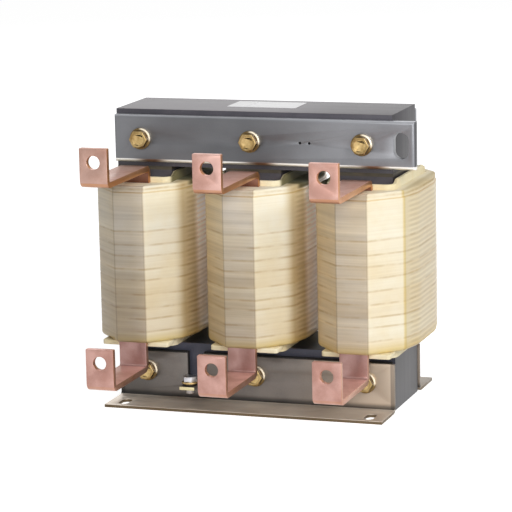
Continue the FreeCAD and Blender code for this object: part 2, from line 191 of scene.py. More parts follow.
def settle(name: str) -> Piece:
    """Names the piece that was just added, puts its place, turn and size into its mesh, and returns it."""
    piece = bpy.context.object
    piece.name = name
    select_only(piece)
    bpy.ops.object.transform_apply(location=True, rotation=True, scale=True)
    return piece


def add_box(name: str, low: Vector, high: Vector) -> Piece:
    """Adds a box between two corners, with its place in its mesh, and returns it."""
    bpy.ops.mesh.primitive_cube_add(size=1, location=(low + high) / 2)
    bpy.context.object.scale = high - low
    return settle(name)


def add_round(name: str, sides: int, radius: float, low: Vector, way: Vector) -> Piece:
    """Adds a prism or cylinder with a corner level and its place in its mesh.

    Args:
        name: The new piece's name.
        sides: Number of sides.
        radius: Radius over the corners.
        low: Middle of its first end.
        way: From the first end's middle to the second's, along Y.

    Returns:
        The new piece.
    """
    middle = low + way / 2
    bpy.ops.mesh.primitive_cylinder_add(vertices=sides, radius=radius, depth=way.length, location=middle)
    bpy.context.object.rotation_euler = (math.pi / 2, math.pi / 2, 0)
    return settle(name)


def finish_modifier(piece: Piece, kind: str, **settings: object) -> None:
    """Adds a modifier to a piece and applies it.

    Args:
        piece: The piece to change.
        kind: Blender's name of the modifier's type.
        **settings: The modifier's settings.
    """
    modifier = piece.modifiers.new(kind.lower(), kind)
    for name, value in settings.items():
        setattr(modifier, name, value)
    select_only(piece)
    bpy.ops.object.modifier_apply(modifier=modifier.name)


def carve(piece: Piece, tool: Piece, operation: str = "DIFFERENCE") -> None:
    """Combines a piece with a tool body and removes the tool.

    Args:
        piece: The piece to change.
        tool: The body that is used up.
        operation: Blender's name of the boolean operation.
    """
    finish_modifier(piece, "BOOLEAN", operation=operation, object=tool, solver="EXACT")
    bpy.data.objects.remove(tool)


def shade_by_angle(piece: Piece, angle: float) -> None:
    """Shades a piece smooth, apart from edges sharper than an angle in degrees."""
    select_only(piece)
    bpy.ops.object.shade_smooth_by_angle(angle=math.radians(angle))


def soften(piece: Piece, width: float, segments: int = 2, angle: float = 35.0) -> None:
    """Rounds a piece's sharp edges and shades it smooth between the ones that stay.

    Args:
        piece: The piece to finish.
        width: Width of the rounding in millimetres.
        segments: Steps across the rounding.
        angle: Edges sharper than this many degrees are rounded.
    """
    finish_modifier(piece, "BEVEL", width=width * MM, segments=segments, limit_method="ANGLE",
                    angle_limit=math.radians(angle), harden_normals=False, use_clamp_overlap=True)
    shade_by_angle(piece, angle)


def copy_of(piece: Piece, name: str, place: Matrix) -> Piece:
    """Copies a piece with its own mesh, moved by a matrix that goes into the mesh."""
    twin = bpy.data.objects.new(name, piece.data.copy())
    twin.data.transform(place)
    bpy.context.scene.collection.objects.link(twin)
    return twin


def joined(name: str, parts: list[Piece]) -> Piece:
    """Joins parts into one piece with a new name."""
    bpy.ops.object.select_all(action="DESELECT")
    for part in parts:
        part.select_set(True)
    bpy.context.view_layer.objects.active = parts[0]
    bpy.ops.object.join()
    parts[0].name = name
    return parts[0]


def merged_copy(node: str, name: str) -> Piece:
    """Copies a CAD node's mesh, merges its loose triangles and clears its flat seams.

    Args:
        node: The CAD node.
        name: The copy's name.

    Returns:
        The copy, which still lies where the node is.
    """
    piece = copy_of(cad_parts[node], name, Matrix.Identity(4))
    with editing(piece, Pick.VERTS):
        bpy.ops.mesh.select_all(action="SELECT")
        bpy.ops.mesh.remove_doubles(threshold=MERGE_WITHIN)
        bpy.ops.mesh.dissolve_limited(angle_limit=FLAT_WITHIN)
    bpy.ops.mesh.customdata_custom_splitnormals_clear()
    return piece


def dress(piece: Piece, material: Material, slot: str, *nodes: str) -> None:
    """Gives a finished piece its material, hangs it under the root body and hides the CAD nodes that it
    stands for.

    Args:
        piece: The finished piece.
        material: Its material.
        slot: Not used.
        *nodes: The CAD nodes that it replaces.
    """
    piece.data.materials.clear()
    piece.data.materials.append(material)
    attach(piece, "root")
    if nodes:
        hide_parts(*nodes)


def refine(node: str, suffix: str, edge: float, material: Material, slot: str) -> None:
    """Puts a copy with softened edges and a material in a CAD node's place.

    Args:
        node: The CAD node.
        suffix: What the copy's name adds to the node's.
        edge: Width of the rounding in millimetres.
        material: The copy's material.
        slot: A material slot's name, passed on to dress.
    """
    piece = merged_copy(node, node + suffix)
    soften(piece, edge)
    dress(piece, material, slot, node)


def paint_node(node: str, material: Material) -> None:
    """Gives a CAD node that stays in view its material."""
    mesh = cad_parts[node].data
    mesh.materials.clear()
    mesh.materials.append(material)


# Shader helpers


class Recipe:
    """A node tree with short ways to add nodes and feed their inputs."""

    def __init__(self, tree: bpy.types.NodeTree) -> None:
        """Starts on a tree, which is cleared."""
        self.tree = tree
        tree.nodes.clear()

    def add(self, kind: str, inputs: dict | None = None, **settings: object) -> bpy.types.Node:
        """Adds a node.

        Args:
            kind: The node's type, without the leading ShaderNode.
            inputs: A socket or a plain value for each input that is named.
            **settings: The node's other settings.

        Returns:
            The new node.
        """
        node = self.tree.nodes.new(kind if kind.startswith("NodeGroup") else "ShaderNode" + kind)
        for name, value in settings.items():
            setattr(node, name, value)
        for key, value in (inputs or {}).items():
            self.feed(node.inputs[key], value)
        return node

    def feed(self, target: Socket, value: object) -> None:
        """Links a socket to an input, or sets the input to a plain value."""
        if isinstance(value, Socket):
            self.tree.links.new(value, target)
        else:
            target.default_value = value

    def sum(self, operation: str, *values: object) -> Socket:
        """Adds a Math node and returns its output."""
        return self.add("Math", dict(enumerate(values)), operation=operation).outputs[0]

    def vector(self, operation: str, *values: object) -> bpy.types.Node:
        """Adds a Vector Math node and returns it."""
        return self.add("VectorMath", dict(enumerate(values)), operation=operation)

    def product(self, *values: Socket) -> Socket:
        """Multiplies values and returns the result."""
        return reduce(lambda first, second: self.sum("MULTIPLY", first, second), values)

    def span(self, value: Socket, low: float, high: float, to_low: float = 0, to_high: float = 1) -> Socket:
        """Maps a range smoothly onto another one, clamped, and returns it."""
        inputs = {"Value": value, "From Min": low, "From Max": high, "To Min": to_low, "To Max": to_high}
        return self.add("MapRange", inputs, interpolation_type="SMOOTHSTEP").outputs[0]

    def mix(self, share: object, first: object, second: object, blend: str = "MIX") -> Socket:
        """Mixes two colours and returns the result."""
        return self.add("Mix", {0: share, 6: first, 7: second}, data_type="RGBA", blend_type=blend).outputs[2]

    def noise(self, place: Socket, scale: object, detail: float, roughness: float = 0.5) -> Socket:
        """Adds a noise pattern and returns its value."""
        inputs = {"Vector": place, "Scale": scale, "Detail": detail, "Roughness": roughness}
        return self.add("TexNoise", inputs).outputs[0]

    def direct_rays(self) -> tuple[bpy.types.Node, Socket]:
        """Returns the node that tells rays apart, and a mask of the camera's and mirrored rays."""
        rays = self.add("LightPath")
        return rays, self.sum("MAXIMUM", rays.outputs["Is Camera Ray"], rays.outputs["Is Glossy Ray"])


FLOAT, VECTOR, COLOUR = "NodeSocketFloat", "NodeSocketVector", "NodeSocketColor"
WHITE = tone(1.0, 1.0, 1.0)


def new_group(name: str, inputs: dict[str, tuple], outputs: dict[str, str]) -> tuple[Recipe, Outputs]:
    """Starts a shader node group with named sockets.

    Args:
        name: The group's name.
        inputs: Socket type and default of each input.
        outputs: Socket type of each output.

    Returns:
        The group's recipe and the sockets of its inputs.
    """
    tree = bpy.data.node_groups.new(name, "ShaderNodeTree")
    for socket, (kind, value) in inputs.items():
        made = tree.interface.new_socket(socket, in_out="INPUT", socket_type=kind)
        if value is not None:
            made.default_value = value
    for socket, kind in outputs.items():
        tree.interface.new_socket(socket, in_out="OUTPUT", socket_type=kind)
    recipe = Recipe(tree)
    return recipe, recipe.add("NodeGroupInput").outputs


def blotch_group() -> bpy.types.NodeTree:
    """Builds the group that varies a colour in soft blotches and fine specks.

    Returns:
        The group, which puts out a colour, the blotch mask and a small height.
    """
    recipe, given = new_group(
        "soft blotches",
        {"Vector": (VECTOR, None), "Size": (FLOAT, 40.0), "Speck Size": (FLOAT, 900.0),
         "Dark": (COLOUR, WHITE), "Light": (COLOUR, WHITE), "Speck Amount": (FLOAT, 0.15)},
        {"Color": COLOUR, "Mask": FLOAT, "Height": FLOAT},
    )
    mask = recipe.span(recipe.noise(given["Vector"], given["Size"], 4.0, 0.55), 0.32, 0.68)
    grain = recipe.span(recipe.noise(given["Vector"], given["Speck Size"], 2.0, 0.6), 0.3, 0.7, -0.5, 0.5)
    both = recipe.sum("ADD", mask, recipe.product(grain, given["Speck Amount"]))
    colour = recipe.mix(both, given["Dark"], given["Light"])
    recipe.add("NodeGroupOutput", {"Color": colour, "Mask": mask, "Height": grain})
    return recipe.tree


def stripe_group() -> bpy.types.NodeTree:
    """Builds the group that draws uneven stripes across one axis.

    Returns:
        The group, with a stripe mask from 0 to 1 as its output.
    """
    recipe, given = new_group(
        "uneven stripes",
        {"Vector": (VECTOR, None), "Stretch": (VECTOR, (1.0, 400.0, 1.0)), "Contrast": (FLOAT, 0.2)},
        {"Mask": FLOAT},
    )
    drawn = recipe.vector("MULTIPLY", given["Vector"], given["Stretch"]).outputs[0]
    low = recipe.sum("SUBTRACT", 0.5, given["Contrast"])
    high = recipe.sum("ADD", 0.5, given["Contrast"])
    noise = recipe.noise(drawn, 1.0, 3.0, 0.7)
    mapped = recipe.add("MapRange", {"Value": noise, "From Min": low, "From Max": high})
    recipe.add("NodeGroupOutput", {"Mask": mapped.outputs[0]})
    return recipe.tree


@dataclass
class Groups:
    """The node groups that several finishes share."""

    blotches: bpy.types.NodeTree
    stripes: bpy.types.NodeTree


class Way(Enum):
    """The measures of a point on the reactor that a zone's limits run along."""

    X = "to the right of the reactor's middle"
    Y = "behind the core's middle"
    Z = "above the floor"
    ACROSS = "to the right of the nearest leg's axis"
    WIDTH = "to either side of the reactor's middle"
    DEPTH = "in front of the core's middle or behind it"
    REACH = "to either side of the nearest leg's axis"


UNSIGNED = {Way.WIDTH: Way.X, Way.DEPTH: Way.Y, Way.REACH: Way.ACROSS}
Limit = tuple[Way, float, float]


@dataclass(frozen=True)
class Zone:
    """A part of the object where a finish takes another tint, with soft limits.

    Each limit says along which way it runs, where the zone starts and where it is full, in millimetres.
    """

    tint: Colour
    limits: tuple[Limit, ...]
    blend: str = "MULTIPLY"


class Sketch(Recipe):
    """A material in the making: its nodes, its shader and the measures that limit its zones."""

    def __init__(self, name: str, groups: Groups) -> None:
        """Starts a material with a plain shader."""
        self.material = bpy.data.materials.new(name)
        self.material.use_nodes = True
        super().__init__(self.material.node_tree)
        self.groups = groups
        self.shader = self.add("BsdfPrincipled")
        self.add("OutputMaterial", {"Surface": self.shader.outputs[0]})
        self.place = self.add("TexCoord").outputs["Object"]
        self.ways: dict[Way, Socket] = {}

    def put(self, inputs: dict[str, object]) -> None:
        """Feeds inputs of the shader."""
        for name, value in inputs.items():
            self.feed(self.shader.inputs[name], value)

    def roughen(self, height: Socket, distance: float, strength: float) -> None:
        """Puts a height on the shader as a bump; the distance is in millimetres."""
        bump = self.add("Bump", {"Height": height, "Distance": distance * MM, "Strength": strength})
        self.put({"Normal": bump.outputs[0]})

    def attribute(self, name: str) -> Socket:
        """Reads one of the piece's own attributes."""
        return self.add("Attribute", attribute_name=name).outputs["Fac"]

    def stripes(self, stretch: Triple, contrast: float) -> Socket:
        """Adds the shared stripes and returns their mask."""
        return self.group(self.groups.stripes, {"Stretch": stretch, "Contrast": contrast})["Mask"]

    def group(self, tree: bpy.types.NodeTree, inputs: dict[str, object]) -> Outputs:
        """Adds a shared group on the object coordinates and returns its outputs."""
        return self.add("Group", {"Vector": self.place} | inputs, node_tree=tree).outputs

    def measure(self, way: Way) -> Socket:
        """Finds a measure, which is made the first time.

        Args:
            way: Which measure.

        Returns:
            The socket that gives it, in metres.
        """
        if not self.ways:
            self.ways = dict(zip(Way, self.add("SeparateXYZ", {0: self.place}).outputs))
        if way not in self.ways and way is Way.ACROSS:
            half = LEG_PITCH / 2 * MM
            self.ways[way] = self.sum("WRAP", self.measure(Way.X), half, -half)
        elif way not in self.ways:
            self.ways[way] = self.sum("ABSOLUTE", self.measure(UNSIGNED[way]))
        return self.ways[way]

    def ramp(self, way: Way, low: float, high: float, to_low: float = 0, to_high: float = 1) -> Socket:
        """Maps a range of a measure, in millimetres, smoothly onto another range."""
        return self.span(self.measure(way), low * MM, high * MM, to_low, to_high)

    def within(self, *limits: Limit) -> Socket:
        """Returns the mask of what lies inside all the limits."""
        return self.product(*(self.ramp(*limit) for limit in limits))

    def tinted(self, colour: Socket, zones: tuple[Zone, ...]) -> Socket:
        """Puts each zone's tint on a colour and returns the result."""
        for zone in zones:
            colour = self.mix(self.within(*zone.limits), colour, zone.tint, zone.blend)
        return colour


# Finishes


@dataclass(frozen=True)
class Mottled:
    """A finish of two near colours in soft blotches with a fine grain, and zones of other tints."""

    name: str
    roughness: float
    metallic: float = 0.0
    dark: Colour = WHITE
    light: Colour = WHITE
    size: float = 40.0
    speck_size: float = 900.0
    speck_amount: float = 0.15
    relief: float = 0.05
    coat: float = 0.0
    spread: float = 0.15
    zones: tuple[Zone, ...] = ()

    def blotches(self, draw: Sketch) -> Outputs:
        """Adds the shared blotches with this finish's values and returns their outputs."""
        return draw.group(draw.groups.blotches, {
            "Size": self.size, "Speck Size": self.speck_size, "Dark": self.dark, "Light": self.light,
            "Speck Amount": self.speck_amount})

    def gloss(self, draw: Sketch, mask: Socket) -> Socket:
        """Varies the roughness to either side of its value and returns it."""
        return draw.span(mask, 0, 1, self.roughness * (1 - self.spread), self.roughness * (1 + self.spread))

    def build(self, groups: Groups) -> Material:
        """Builds the material from the shared groups."""
        draw = Sketch(self.name, groups)
        blotches = self.blotches(draw)
        draw.put({"Base Color": self.tint(draw, blotches["Color"]), "Metallic": self.metallic,
                  "Roughness": self.gloss(draw, blotches["Mask"]), "Coat Weight": self.coat,
                  "Coat Roughness": 0.2})
        draw.roughen(blotches["Height"], self.relief, 0.5)
        return draw.material

    def tint(self, draw: Sketch, colour: Socket) -> Socket:
        """Puts the zones on the colour; a finish that changes in other ways does more here."""
        return draw.tinted(colour, self.zones)


@dataclass(frozen=True)
class BoltZinc(Mottled):
    """Yellow zinc with painted shade on the flanks of heads and nuts, which the piece marks."""

    flank: Colour = WHITE

    def tint(self, draw: Sketch, colour: Socket) -> Socket:
        """Paints shade on the flanks and returns the colour."""
        return draw.mix(draw.attribute("hex_flank"), colour, self.flank)


@dataclass(frozen=True)
class WasherZinc(Mottled):
    """Zinc darkened as painted shade, with a painted highlight along the upper right of each washer's rim."""

    # The rim's painted highlight, the way it faces, and where on the rim it lies.
    pale_tint: Colour = WHITE
    highlight_way: Triple = (0.77, 0.64, 0.0)
    rim: float = 8.6
    rim_fade: float = 0.6
    lower_row: float = 29.0
    row_step: float = 231.0

    def tint(self, draw: Sketch, colour: Socket) -> Socket:
        """Paints a highlight on the rim's upper right.

        Args:
            draw: The material in the making.
            colour: The even colour.

        Returns:
            The changed colour.
        """
        half = self.row_step / 2 * MM
        height = draw.sum("WRAP", draw.sum("SUBTRACT", draw.measure(Way.Z), self.lower_row * MM), half, -half)
        spot = draw.add("CombineXYZ", {0: draw.measure(Way.ACROSS), 1: height}).outputs[0]
        radius = draw.vector("LENGTH", spot).outputs["Value"]
        towards = draw.vector("DOT_PRODUCT", spot, self.highlight_way).outputs["Value"]
        facing = draw.span(draw.sum("DIVIDE", towards, radius), 0.5, 0.85)
        rim = draw.span(radius, self.rim * MM, (self.rim + self.rim_fade) * MM)
        return draw.mix(draw.product(facing, rim), colour, self.pale_tint)


@dataclass(frozen=True)
class BarPaint(Mottled):
    """Bar finish with painted light: darkest left of the middle and much paler towards the right."""

    # Painted light: a gain along the bar, at the left end and on the upper rim; painted shade on the right
    # end; bare is the lower rim's painted highlight.
    right_gain: float = 1.0
    left_gain: float = 0.3
    rim_gain: float = 0.9
    end_share: float = 0.28
    bare: Colour = WHITE
    bare_below: Limit = (Way.Z, 240.6, 239.6)

    def tint(self, draw: Sketch, colour: Socket) -> Socket:
        """Paints light on both sides and the upper rim, shade on the right end, and a highlight on the lower
        rim.

        Args:
            draw: The material in the making.
            colour: The even colour.

        Returns:
            The changed colour.
        """
        right = draw.ramp(Way.X, -10, 150, 1.0, 1.0 + self.right_gain)
        left = draw.ramp(Way.X, -140, -60, self.left_gain, 0.0)
        rim = draw.ramp(Way.Z, 281.0, 282.4, 0.0, self.rim_gain)
        gain = draw.sum("ADD", draw.sum("ADD", right, left), rim)
        gain = draw.product(gain, draw.ramp(Way.X, 162.8, 163.6, 1.0, self.end_share))
        lit = draw.add("VectorMath", {0: colour, "Scale": gain}, operation="SCALE").outputs[0]
        return draw.mix(draw.within(self.bare_below), lit, draw.tinted(self.bare, self.zones))


@dataclass(frozen=True)
class FootZinc(Mottled):
    """Zinc of the bent feet; the upright has the zones, and the flange and the tongue are paler."""

    flange: Colour = WHITE
    flange_mottle: float = 0.12
    flange_below: Limit = (Way.Z, 3.8, 3.2)
    flange_zones: tuple[Zone, ...] = ()
    tongue_zones: tuple[Zone, ...] = ()

    def tint(self, draw: Sketch, colour: Socket) -> Socket:
        """Tints the upright, the flange and the tongue in turn.

        Args:
            draw: The material in the making.
            colour: The even colour.

        Returns:
            The changed colour.
        """
        pale_tint = draw.mix(self.flange_mottle, self.flange, colour, "MULTIPLY")
        pale_tint = draw.tinted(pale_tint, self.flange_zones)
        both = draw.mix(draw.within(self.flange_below), draw.tinted(colour, self.zones), pale_tint)
        return draw.tinted(both, self.tongue_zones)


@dataclass(frozen=True)
class Laminations(Mottled):
    """Varnished edges and faces of the core's sheets, which lie across Y."""

    sheets: Triple = (2.0, 700.0, 2.0)
    sheet_tones: tuple[Colour, Colour] = (tone(0.82, 0.82, 0.84), tone(1.1, 1.1, 1.1))

    def build(self, groups: Groups) -> Material:
        """Builds the material from the shared groups."""
        draw = Sketch(self.name, groups)
        sheets = draw.stripes(self.sheets, 0.35)
        colour = draw.mix(1.0, self.blotches(draw)["Color"], draw.mix(sheets, *self.sheet_tones), "MULTIPLY")
        draw.put({"Base Color": self.tint(draw, colour), "Roughness": self.gloss(draw, sheets)})
        draw.roughen(sheets, self.relief, 0.25)
        return draw.material


@dataclass(frozen=True)
class Copper(Mottled):
    """Bare satin copper with a drawn grain, a light tarnish, shear-cut sides and painted shade on the
    undersides, which the piece marks.
    """

    grain: Triple = (1500.0, 60.0, 60.0)
    lower_leads: Limit = (Way.Z, 120, 90)
    # Colour of the shear-cut sides and of the painted shade on the undersides, which the lower leads take
    # less.
    sheared_and_shade: Colour = WHITE
    lower_sheared: float = 0.45
    # Level tops are paler, as painted light, the lower leads' tops the most.
    level_gains: tuple[Colour, Colour] = (tone(1.3, 1.22, 1.18), tone(1.5, 1.48, 1.5))
    level_metallic: float = 0.35

    def build(self, groups: Groups) -> Material:
        """Builds the material from the shared groups."""
        draw = Sketch(self.name, groups)
        blotches, lower = self.blotches(draw), draw.within(self.lower_leads)
        level = draw.attribute("level_top")
        colour = self.tint(draw, blotches["Color"])
        colour = draw.mix(level, colour, draw.mix(lower, *self.level_gains), "MULTIPLY")
        edge = draw.product(draw.attribute("sheared_side_and_shade"), draw.span(lower, 0, 1, 1.0, self.lower_sheared))
        draw.put({"Base Color": draw.mix(edge, colour, self.sheared_and_shade),
                  "Roughness": self.gloss(draw, blotches["Mask"]),
                  "Metallic": draw.span(level, 0, 1, self.metallic, self.level_metallic)})
        draw.roughen(draw.stripes(self.grain, 0.3), self.relief, 0.3)
        return draw.material


@dataclass(frozen=True)
class VarnishedTape(Mottled):
    """Cream tape in lapped turns; the piece's own attributes give each lap and each turn's tone."""

    thread_tones: tuple[Colour, Colour] = (tone(0.93, 0.91, 0.88), tone(1.03, 1.03, 1.03))
    turn: Colour = tone(0.96, 0.92, 0.86)
    # Painted shade at the foot and painted light at the head of the left and middle coils.
    foot: Colour = tone(0.84, 0.83, 0.8)
    head: Colour = tone(1.07, 1.11, 1.16)
    band_tones: tuple[Colour, Colour] = (tone(0.76, 0.74, 0.73), tone(1.08, 1.08, 1.07))
    ridge_tones: tuple[Colour, Colour] = (tone(1.1, 1.1, 1.12), tone(0.92, 0.89, 0.86))
    lap: Colour = WHITE
    # Painted shade on the left coil's strip and the facet beside it.
    left_end: Colour = WHITE
    strip: tuple[Limit, ...] = ((Way.REACH, 15.9, 14.9), (Way.Y, -84, -86.5))
    near: tuple[Limit, ...] = ((Way.ACROSS, -14.8, -16), (Way.Y, -40, -56))
    beside: Limit = (Way.REACH, 44, 47)
    matt_end: Limit = (Way.Z, 214, 217)
    ridge_pitch: float = 4.7

    def build(self, groups: Groups) -> Material:
        """Builds the material from the shared groups."""
        draw = Sketch(self.name, groups)
        threads = draw.mix(draw.stripes((5.0, 5.0, 520.0), 0.3), *self.thread_tones)
        colour = draw.mix(1.0, self.blotches(draw)["Color"], threads, "MULTIPLY")
        colour = draw.mix(draw.attribute("turn_tone"), colour, self.turn, "MULTIPLY")
        colour = self.tint(draw, self.shade_and_band(draw, colour))
        turns = draw.sum("MULTIPLY", draw.measure(Way.Z), 2 * math.pi / (self.ridge_pitch * MM))
        beside = draw.within(self.beside)
        ridges = draw.product(draw.span(draw.sum("SINE", turns), -1, 1), beside)
        colour = draw.mix(beside, colour, draw.mix(ridges, *self.ridge_tones), "MULTIPLY")
        torn = draw.span(draw.noise(draw.place, 45.0, 3.0), 0.35, 0.65, 0.05, 0.6)
        colour = draw.mix(draw.product(draw.attribute("lap"), torn), colour, self.lap, "MULTIPLY")
        draw.put({"Base Color": colour, "Coat Weight": draw.ramp(*self.matt_end, self.coat, 0.0),
                  "Roughness": draw.ramp(*self.matt_end, self.roughness, 0.9), "Coat Roughness": 0.25})
        weave = draw.sum("MULTIPLY", draw.noise(draw.place, 900.0, 2.0), 0.25)
        draw.roughen(draw.sum("ADD", ridges, weave), self.relief, 0.6)
        return draw.material

    def shade_and_band(self, draw: Sketch, colour: Socket) -> Socket:
        """Paints shade towards the foot and light towards the head of the left and middle coils, bands the
        strip over the lead and beside it, and paints shade on the left coil's strip and the facet beside it.

        Args:
            draw: The material in the making.
            colour: The even colour.

        Returns:
            The changed colour.
        """
        slope = draw.mix(draw.ramp(Way.Z, 100, 185), self.foot, self.head)
        colour = draw.mix(draw.ramp(Way.X, 64, 52), colour, slope, "MULTIPLY")
        front = draw.sum("ADD", draw.within(*self.strip), draw.within(*self.near))
        banded = draw.mix(draw.stripes((3.0, 3.0, 130.0), 0.2), *self.band_tones)
        colour = draw.mix(front, colour, banded, "MULTIPLY")
        return draw.mix(draw.product(front, draw.ramp(Way.X, -90, -112)), colour, self.left_end, "MULTIPLY")


@dataclass(frozen=True)
class PaleStage:
    """The studio floor: pale for the object, white for the camera, and it keeps the shadow."""

    name: str
    lift: float = 0.8

    def build(self) -> Material:
        """Builds the floor's material."""
        material = bpy.data.materials.new(self.name)
        material.use_nodes = True
        recipe = Recipe(material.node_tree)
        plain = recipe.add("BsdfDiffuse", {"Color": tone(0.82, 0.82, 0.82)})
        direct = recipe.direct_rays()[1]
        glow = recipe.add("Emission", {"Strength": recipe.sum("MULTIPLY", direct, self.lift)})
        both = recipe.add("AddShader", {0: plain.outputs[0], 1: glow.outputs[0]})
        recipe.add("OutputMaterial", {"Surface": both.outputs[0]})
        return material


# The reactor's finishes

YOKE_TOP: Limit = (Way.Z, 287.3, 287.9)
YOKE_ENDS: Limit = (Way.WIDTH, 139.2, 139.8)
LOWER_YOKE: Limit = (Way.Z, 60, 58.5)
FOOT_UPRIGHT: Limit = (Way.DEPTH, 51.5, 49.0)
UPPER_LEADS: Limit = (Way.Z, 190, 205)
SHORT_OF_RIGHT_END: Limit = (Way.X, 143, 137)
SHORT_OF_RIGHT_SIDE: Limit = (Way.X, 136, 128)

CORE = Laminations(
    "varnished laminations", 0.45, dark=shade(66, 64, 72), light=shade(86, 83, 91), size=25.0,
    speck_size=700.0, speck_amount=0.3, relief=0.04, spread=-0.111,
    # Painted light and shade: a painted sheen on the top with painted shade on its right, painted shade on
    # the ends, the lower yoke bluer as painted light, and painted shade on its ends and on its top under the
    # coils.
    zones=(
        Zone(shade(116, 111, 115), (YOKE_TOP,), "MIX"),
        Zone(tone(0.45, 0.45, 0.45), (YOKE_TOP, (Way.X, 0, 90))),
        Zone(tone(0.26, 0.24, 0.26), (YOKE_ENDS,)),
        Zone(tone(0.85, 0.98, 1.16), (LOWER_YOKE,)),
        Zone(tone(0.76, 0.65, 0.58), (LOWER_YOKE, YOKE_ENDS)),
        Zone(tone(0.25, 0.24, 0.22), (LOWER_YOKE, (Way.Z, 56.3, 56.9))),
    ))
BAR = BarPaint(
    "satin grey bar", 0.42, 0.75, dark=shade(97, 98, 101), light=shade(108, 109, 112), size=12.0,
    speck_size=1500.0, speck_amount=0.25, relief=0.02, bare=shade(240, 236, 230),
    # The lower rim's painted highlight is brown over the copper, a painted reflection of the leads.
    zones=(Zone(shade(132, 100, 80), ((Way.ACROSS, -9, 8), (Way.ACROSS, 31, 14)), "MIX"),))
BRACKET = FootZinc(
    "tan zinc sheet", 0.45, 0.65, dark=shade(110, 105, 101), light=shade(126, 120, 115), size=30.0,
    speck_size=1100.0, speck_amount=0.3, relief=0.03, flange=shade(236, 225, 212),
    # Painted light, paler and warmer, on the right; a painted shadow of the leads at the lower left; painted
    # shade in the bend and at the ends.
    zones=(
        Zone(shade(176, 160, 143), ((Way.X, 30, 130),), "MIX"),
        Zone(tone(0.55, 0.55, 0.55), ((Way.X, -85, -130), (Way.Z, 34, 8))),
        Zone(tone(0.2, 0.2, 0.2), (FOOT_UPRIGHT, (Way.Z, 10, 4.5))),
        Zone(tone(0.5, 0.5, 0.5), (FOOT_UPRIGHT, (Way.WIDTH, 136.5, 137.5))),
    ),
    # Painted shade on the rear flange; the sheet's cut edges are darker too.
    flange_zones=(
        Zone(tone(0.36, 0.34, 0.31), ((Way.Y, 0, 20),)),
        Zone(shade(104, 88, 66), ((Way.Z, 2.9, 2.6),), "MIX"),
    ),
    tongue_zones=(Zone(shade(226, 216, 172), ((Way.DEPTH, 71.5, 72.6), (Way.Z, 15, 16)), "MIX"),))
BOLT = BoltZinc("yellow zinc", 0.34, 0.95, dark=shade(166, 138, 88), light=shade(206, 180, 126), size=240.0,
                speck_size=1500.0, speck_amount=0.15, relief=0.01, flank=shade(84, 62, 34))
# The washers are darker than the bolts as painted shade, with a painted highlight on each rim.
WASHER = WasherZinc("dull yellow zinc", 0.42, 0.9, dark=shade(100, 82, 52), light=shade(136, 114, 74),
                    size=90.0, speck_size=1500.0, speck_amount=0.2, relief=0.01, pale_tint=shade(250, 238, 214))
BRIGHT = Mottled("bright steel", 0.3, 1.0, dark=shade(186, 186, 190), light=shade(222, 222, 226), size=180.0,
                 speck_size=1500.0, relief=0.02)
SPRING = Mottled("dark spring steel", 0.35, 0.9, dark=shade(44, 40, 34), light=shade(66, 60, 50), size=180.0)
BLACK_BOARD = Mottled("black board", 0.75, dark=shade(16, 15, 16), light=shade(34, 32, 33), size=60.0)
GAP_BOARD = Mottled("gap board", 0.6, dark=shade(70, 64, 54), light=shade(92, 84, 70), size=60.0)
PRESSBOARD = Mottled(
    "varnished pressboard", 0.8, dark=shade(240, 225, 182), light=shade(251, 243, 214), size=28.0, coat=0.05,
    # Painted shadow under the upper yoke, beside the leg.
    zones=(Zone(tone(0.2, 0.2, 0.14),
                ((Way.Z, 205, 214), (Way.REACH, 30, 33), (Way.DEPTH, 58, 53), SHORT_OF_RIGHT_END)),))
TUBE = Mottled("insulating tube", 0.5, dark=shade(205, 196, 160), light=shade(225, 215, 182))
FOIL = Mottled("copper foil", 0.35, 1.0, dark=shade(190, 120, 90), light=shade(214, 146, 112), size=50.0)
COPPER = Copper(
    "bare copper", 0.36, 0.8, dark=shade(186, 143, 130), light=shade(210, 170, 159), size=45.0,
    speck_size=1200.0, speck_amount=0.2, relief=0.03, spread=-1 / 6, sheared_and_shade=shade(190, 132, 82),
    # Darker lower leads, painted shade on the upper leads' roots under the arms, a darker upper left lead,
    # and painted shade on the lower leads' roots.
    zones=(
        Zone(tone(0.84, 0.8, 0.8), (Copper.lower_leads,)),
        Zone(tone(0.4, 0.3, 0.24), (UPPER_LEADS, (Way.Y, -80, -70))),
        Zone(tone(0.8, 0.82, 0.78), (UPPER_LEADS, (Way.X, -60, -90))),
        Zone(tone(0.72, 0.74, 0.78), (Copper.lower_leads, (Way.Y, -92, -87))),
    ))
